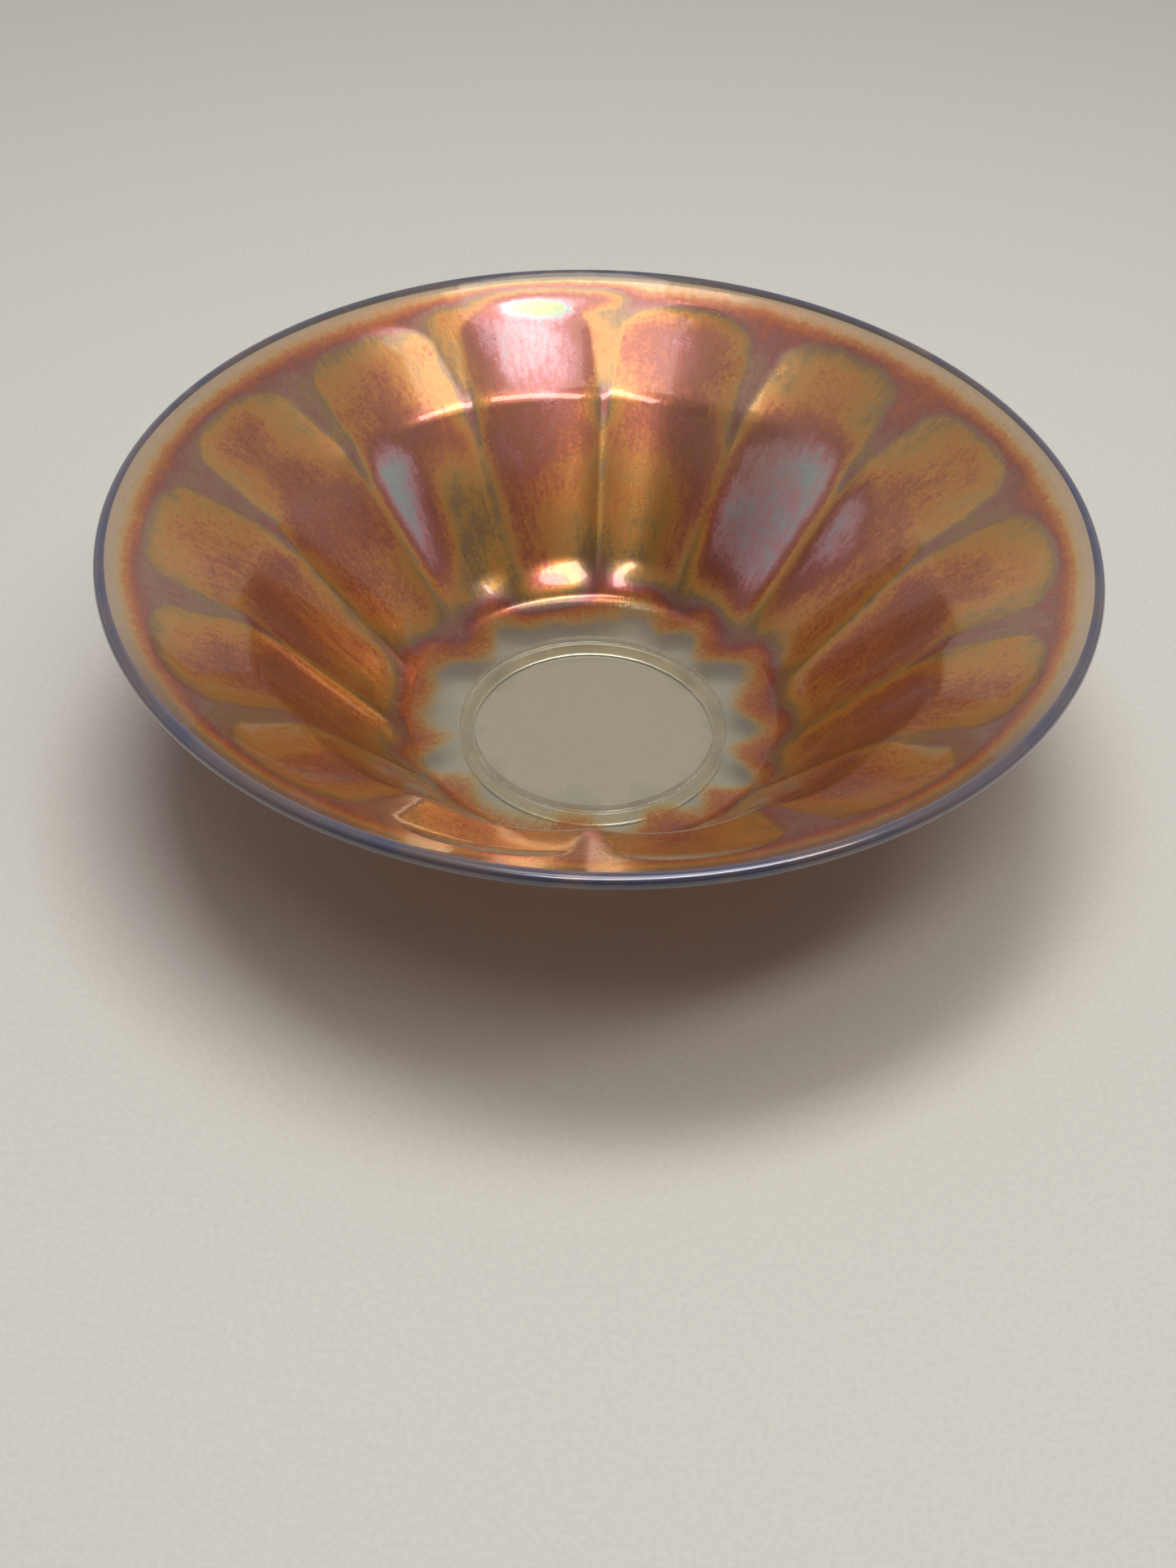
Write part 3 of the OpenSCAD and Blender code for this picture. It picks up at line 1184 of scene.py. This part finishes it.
@dataclass
class Bowl:
    """The whole bowl, zone by zone."""

    profile: PressedProfile = field(default_factory=PressedProfile)
    rule: PanelRule = field(default_factory=PanelRule)

    def zones(self) -> list[Zone]:
        """The zones, from the foot up, with their finishes."""
        waves = GlassWaves()
        film = LustreFilm(self.profile.inside(0.0, self.profile.top)[-1].path)
        joint = HiddenJoint().made()
        clear = PressedGlass("clear_underside").made(waves)
        # The foot ring's cream-gold tint is painted light: the amber of the wall seen through the ring. Its
        # frost is wear.
        worn_foot_with_painted_amber = PressedGlass("worn_foot_glass_painted_amber", shade(254, 242, 214), frost=0.22).made(waves)
        amber = PressedGlass("amber_glass", shade(244, 226, 196), shade(214, 168, 112))
        below = LustredGlass("outer_lustre", amber, cover=0.4, metal=0.6, glow=0.4).made(film, waves)
        base = LustredGlass("base_lustre", PressedGlass("base_glass")).made(film, waves)
        wall = LustredGlass("panel_lustre", amber).made(film, waves)
        border = LustredGlass("border_lustre", amber, cover=0.8, metal=0.7).made(film, waves)
        p = self.profile
        return [
            Zone(
                "foot_ring",
                p.foot_section(),
                Slot.CLEAR,
                {Skin.OUTSIDE: worn_foot_with_painted_amber, Skin.JOINT: joint},
            ),
            Zone(
                "base",
                p.base_section(),
                Slot.CLEAR,
                {Skin.INSIDE: base, Skin.OUTSIDE: clear, Skin.JOINT: joint},
            ),
            Zone(
                "panelled_wall",
                p.wall_section(),
                Slot.MARIGOLD,
                {Skin.INSIDE: wall, Skin.OUTSIDE: below, Skin.JOINT: joint},
            ),
            Zone(
                "rim",
                p.rim_section(),
                Slot.PALE,
                {Skin.INSIDE: border, Skin.OUTSIDE: below, Skin.JOINT: joint, Skin.LIP: LipPolish().made()},
            ),
        ]

    def build(self) -> list[bpy.types.Object]:
        """Makes every piece, hangs it on the root body and hides the CAD node that it stands for.

        Returns:
            The pieces.
        """
        lathe = PanelLathe(self.profile, self.rule)
        pieces = []
        for zone in self.zones():
            piece = lathe.turn(f"{zone.node}_glass", zone.section, zone.finishes)
            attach(piece, BODY)
            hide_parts(zone.node)
            log.info("%s: %d faces", piece.name, len(piece.data.polygons))
            pieces.append(piece)
        return pieces


# --------------------------------------------------------------------------------------------------
# The studio
# --------------------------------------------------------------------------------------------------


@dataclass(frozen=True)
class SoftLamp:
    """A soft panel of light.

    Attributes:
        name: the lamp's name.
        place: where it hangs.
        size: its width and depth.
        power: its strength in watts.
        colour: its colour.
        shines: whether it shows in reflections.
        aim: the point it faces.
    """

    name: str
    place: tuple[float, float, float]
    size: tuple[float, float]
    power: float
    colour: Colour = (1.0, 1.0, 1.0)
    shines: bool = True
    aim: tuple[float, float, float] = (0.0, 0.0, 0.04)

    def hang(self) -> None:
        """Adds the lamp to the scene."""
        light = bpy.data.lights.new(self.name, "AREA")
        light.shape, light.size, light.size_y = "RECTANGLE", *self.size
        light.energy, light.color = self.power, self.colour
        lamp = bpy.data.objects.new(self.name, light)
        lamp.location = self.place
        lamp.visible_glossy = self.shines
        lamp.rotation_euler = (Vector(self.aim) - Vector(self.place)).to_track_quat("-Z", "Y").to_euler()
        bpy.context.scene.collection.objects.link(lamp)


@dataclass(frozen=True)
class Studio:
    """A plain pale floor, soft light from overhead and the camera.

    Attributes:
        floor_size: width of the square floor, in metres.
        camera_place: the camera's place, in metres.
        camera_turn: the camera's rotation about X, Y and Z, in degrees.
        lens: its focal length in millimetres.
        sky_strength: strength of the light from all round.
        lamps: the lamps that hang round the bowl.
    """

    floor_size: float = 6.0
    camera_place: tuple[float, float, float] = (-0.00199, -0.43786, 0.40039)
    camera_turn: tuple[float, float, float] = (46.299, -1.469, 1.274)
    lens: float = 45.61
    sky_strength: float = 0.6
    lamps: tuple[SoftLamp, ...] = (
        SoftLamp("overhead", (-0.03, 0.06, 1.15), (0.6, 0.28), 13.0, (1.0, 0.99, 0.97), shines=False),
        SoftLamp("canopy", (0.14, -0.08, 1.25), (0.55, 0.6), 3.1, (1.0, 0.98, 0.94)),
        SoftLamp("strip", (0.26, -0.44, 1.15), (1.0, 0.2), 7.0, (1.0, 0.97, 0.9)),
        SoftLamp("left_fill", (-1.2, 0.1, 0.6), (1.1, 0.5), 1.8, (0.9, 0.94, 1.0), shines=False),
        SoftLamp("right_fill", (1.2, 0.0, 0.6), (1.1, 0.5), 1.8, (0.9, 0.94, 1.0), shines=False),
    )

    def floor(self) -> None:
        """Lays the floor."""
        half = self.floor_size / 2
        corners = [(-half, -half, 0.0), (half, -half, 0.0), (half, half, 0.0), (-half, half, 0.0)]
        mesh = bpy.data.meshes.new("floor")
        mesh.from_pydata(corners, [], [(0, 1, 2, 3)])
        material, bench = blank_material("pale_floor")
        place = bench.term("ShaderNodeTexCoord", output="Object")
        grain = bench.noise(place, scale=700.0, detail=3.0, roughness=0.6)
        colour = bench.ramp(grain, ((0.3, shade(158, 155, 149)), (0.7, shade(164, 161, 155))))
        surface = bench.term("ShaderNodeBsdfPrincipled", {"Base Color": colour, "Roughness": 0.85})
        bench.node("ShaderNodeOutputMaterial", {"Surface": surface})
        mesh.materials.append(material)
        floor = bpy.data.objects.new("floor", mesh)
        bpy.context.scene.collection.objects.link(floor)

    def sky(self) -> None:
        """Soft light from all round, brighter behind the bowl than behind the camera."""
        world = bpy.data.worlds.new("soft_room")
        world.use_nodes = True
        world.node_tree.nodes.clear()
        bench = TreeBench(world.node_tree)
        _, toward, up = bench.parts(bench.term("ShaderNodeTexCoord", output="Generated"))
        side = (1.0 + toward).share(0.25, 1.1).smooth()
        light = side * (0.55 + up.hump(0.32, 0.35) * 0.4) + up.share(0.8, 1.0) * 0.25
        stops = ((0.0, shade(58, 54, 50)), (0.5, shade(168, 174, 182)), (1.0, shade(248, 250, 255)))
        inputs = {"Color": bench.ramp(light, stops), "Strength": self.sky_strength}
        background = bench.term("ShaderNodeBackground", inputs)
        bench.node("ShaderNodeOutputWorld", {"Surface": background})
        bpy.context.scene.world = world

    def camera(self) -> None:
        """Sets the camera."""
        lens = bpy.data.cameras.new("camera")
        lens.lens = self.lens
        camera = bpy.data.objects.new("camera", lens)
        camera.location = self.camera_place
        camera.rotation_euler = Euler([math.radians(a) for a in self.camera_turn])
        bpy.context.scene.collection.objects.link(camera)
        bpy.context.scene.camera = camera
        bpy.context.scene.view_settings.view_transform = "Standard"

    def set_up(self) -> None:
        """Makes the whole studio."""
        self.camera()
        self.floor()
        self.sky()
        for lamp in self.lamps:
            lamp.hang()
            log.info("lamp %s", lamp.name)


def main() -> None:
    """Builds the studio and the bowl."""
    logging.basicConfig(level=logging.INFO, format="%(name)s: %(message)s", stream=sys.stdout)
    Studio().set_up()
    Bowl().build()


if __name__ == "__main__":
    main()
